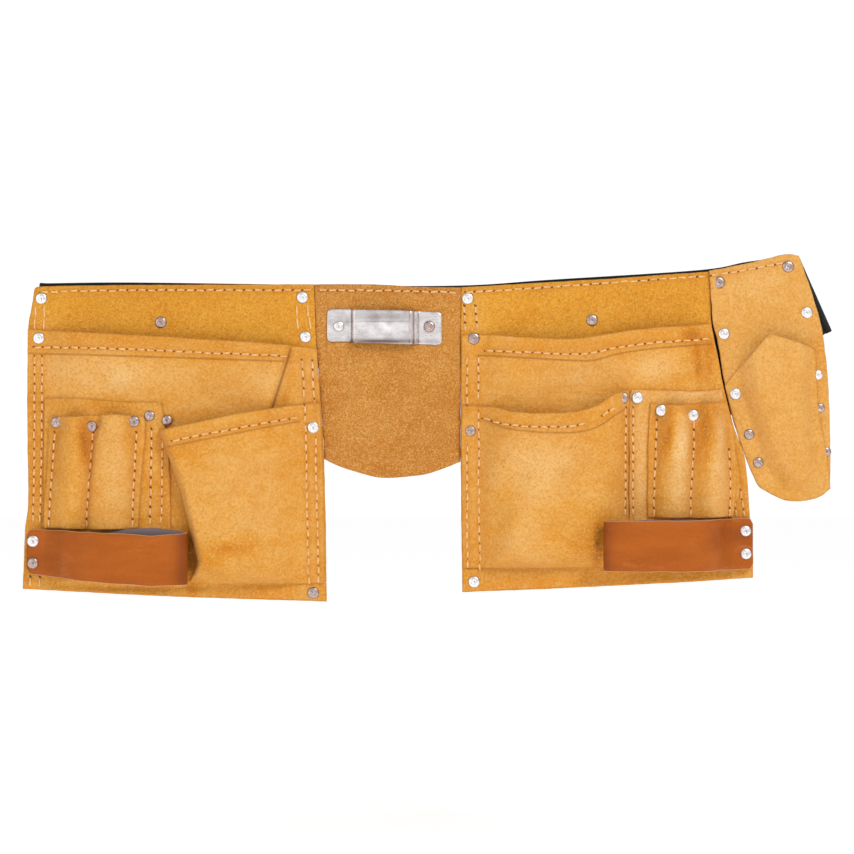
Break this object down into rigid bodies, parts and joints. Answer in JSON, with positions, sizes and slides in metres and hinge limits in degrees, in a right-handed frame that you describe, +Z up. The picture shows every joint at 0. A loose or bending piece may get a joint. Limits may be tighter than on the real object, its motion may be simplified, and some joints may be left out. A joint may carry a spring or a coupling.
{
  "type": "tool belt",
  "caption": "Suede double-pouch tool belt with tool tubes, hammer loops, a hammer holster, a steel tape bracket and a webbing waist strap with a clip buckle.",
  "frame": {"origin": "middle of the waist webbing, on the face that lies on the wearer", "axes": "+X along the belt, to the right as seen from the front, +Z up; the front faces -Y, so +Y points into the wearer"},
  "size_m": [0.6013, 0.0617, 0.2589],
  "materials": {
    "suede": "napped",
    "flesh_leather": "rough flesh side",
    "brown_leather": "smooth waxed",
    "webbing": "woven",
    "plated_steel": "bright zinc plate",
    "nickel": "polished",
    "plastic": "moulded"
  },
  "bodies": {
    "belt": {"waist_webbing": "webbing", "left_band": "suede", "right_band": "suede", "band_rivets": "nickel", "centre_panel": "flesh_leather", "tape_bracket": "plated_steel", "bracket_rivets": "nickel", "holster_top": "suede", "holster_top_rivets": "nickel"},
    "left_pouch": {"left_back_panel": "suede", "left_upper_pocket": "suede", "left_front_pocket": "suede", "left_tool_backing": "suede", "left_tool_tubes": "suede", "left_pouch_rivets": "nickel", "left_hammer_tab": "brown_leather", "left_hammer_loop_rivets": "nickel"},
    "left_hammer": {"left_hammer_loop": "brown_leather"},
    "right_pouch": {"right_back_panel": "suede", "right_upper_pocket": "suede", "right_front_pocket": "suede", "right_tool_backing": "suede", "right_tool_tubes": "suede", "right_pouch_rivets": "nickel", "right_hammer_tab": "brown_leather", "right_hammer_loop_rivets": "nickel"},
    "right_hammer": {"right_hammer_loop": "brown_leather"},
    "holster": {"holster_back": "suede", "holster_front": "suede", "holster_rivets": "nickel"},
    "left_tail": {"left_strap_fold": "webbing", "left_strap_tail": "webbing"},
    "right_tail": {"right_strap_fold": "webbing", "right_strap_tail": "webbing"},
    "socket": {"buckle_socket": "plastic"},
    "plug": {"buckle_plug": "plastic"},
    "prong_upper": {"buckle_prong_upper": "plastic"},
    "prong_lower": {"buckle_prong_lower": "plastic"},
    "keeper": {"strap_keeper": "plastic"}
  },
  "joints": [
    {"name": "left_pouch_swing", "type": "hinge", "parent": "belt", "child": "left_pouch", "pos_m": [-0.0533, -0.004, -0.0145], "axis": [-0.9972, 0, 0.0747], "range_deg": [0, 60]},
    {"name": "right_pouch_swing", "type": "hinge", "parent": "belt", "child": "right_pouch", "pos_m": [0.054, -0.004, -0.0034], "axis": [-0.9996, 0, -0.0269], "range_deg": [0, 60]},
    {"name": "holster_swing", "type": "hinge", "parent": "belt", "child": "holster", "pos_m": [0.2819, -0.004, -0.0118], "axis": [-1, 0, 0], "range_deg": [0, 45]},
    {"name": "left_hammer_loop_swing", "type": "hinge", "parent": "left_pouch", "child": "left_hammer", "pos_m": [-0.2568, -0.01, -0.1687], "axis": [0, 0, -1], "range_deg": [0, 50]},
    {"name": "right_hammer_loop_swing", "type": "hinge", "parent": "right_pouch", "child": "right_hammer", "pos_m": [0.257, -0.01, -0.1609], "axis": [0, 0, 1], "range_deg": [0, 50]},
    {"name": "left_tail_unfold", "type": "hinge", "parent": "belt", "child": "left_tail", "pos_m": [-0.2563, 0.0035, 0.002], "axis": [0.1374, 0, 0.9905], "range_deg": [0, 180], "deforming": ["left_strap_fold"]},
    {"name": "right_tail_unfold", "type": "hinge", "parent": "belt", "child": "right_tail", "pos_m": [0.3132, 0.0035, 0.0236], "axis": [0.3878, 0, -0.9218], "range_deg": [0, 180], "deforming": ["right_strap_fold"]},
    {"name": "buckle_socket_tilt", "type": "hinge", "parent": "left_tail", "child": "socket", "pos_m": [-0.12159, 0.0112, -0.03611], "axis": [0.2722, 0, 0.9622], "range_deg": [0, 60]},
    {"name": "buckle_plug_tilt", "type": "hinge", "parent": "right_tail", "child": "plug", "pos_m": [0.18329, 0.0112, -0.07812], "axis": [0.6165, 0, -0.7873], "range_deg": [0, 60]},
    {"name": "prong_upper_squeeze", "type": "hinge", "parent": "plug", "child": "prong_upper", "pos_m": [0.14901, 0.0112, -0.07068], "axis": [0, -1, 0], "range_deg": [0, 8], "stiffness_Nm_per_rad": 0.4},
    {"name": "prong_lower_squeeze", "type": "hinge", "parent": "plug", "child": "prong_lower", "pos_m": [0.1823, 0.0112, -0.11319], "axis": [0, -1, 0], "range_deg": [-8, 0], "stiffness_Nm_per_rad": 0.4},
    {"name": "keeper_slide", "type": "slide", "parent": "right_tail", "child": "keeper", "axis": [-0.7873, 0, -0.6165], "range_m": [-0.018, 0.045]}
  ],
  "couplings": [
    {"joint": "prong_lower_squeeze", "follows": "prong_upper_squeeze", "ratio": -1}
  ]
}
